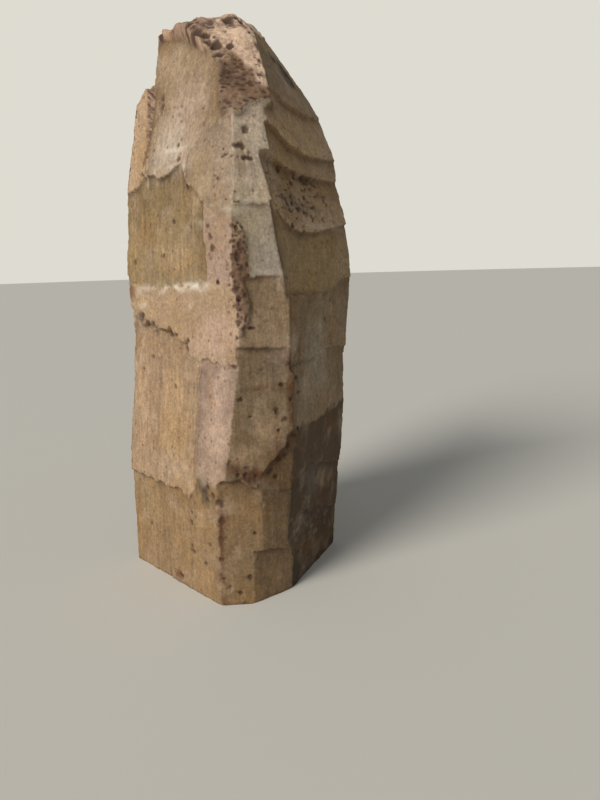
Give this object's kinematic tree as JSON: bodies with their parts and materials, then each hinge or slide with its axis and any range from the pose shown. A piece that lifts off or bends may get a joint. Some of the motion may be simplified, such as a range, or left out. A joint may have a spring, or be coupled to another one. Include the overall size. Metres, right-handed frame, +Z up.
{
  "type": "hewn carving stone block",
  "caption": "Tall rough-hewn block of tan carving stone with chiselled flats, brown skin left on the cap and front corner, and a flat sawn foot.",
  "frame": {"origin": "middle of the foot, on the surface that the block stands on", "axes": "+Z up along the block, -Y to the front corner, +X to the right-hand corner"},
  "size_m": [0.1129, 0.1104, 0.2502],
  "materials": {
    "hewn_stone": "matt tan to ochre stone, chisel-struck flats, rust-brown skin on the cap and front corner"
  },
  "bodies": {
    "root": {"stone": "hewn_stone"}
  },
  "joints": []
}
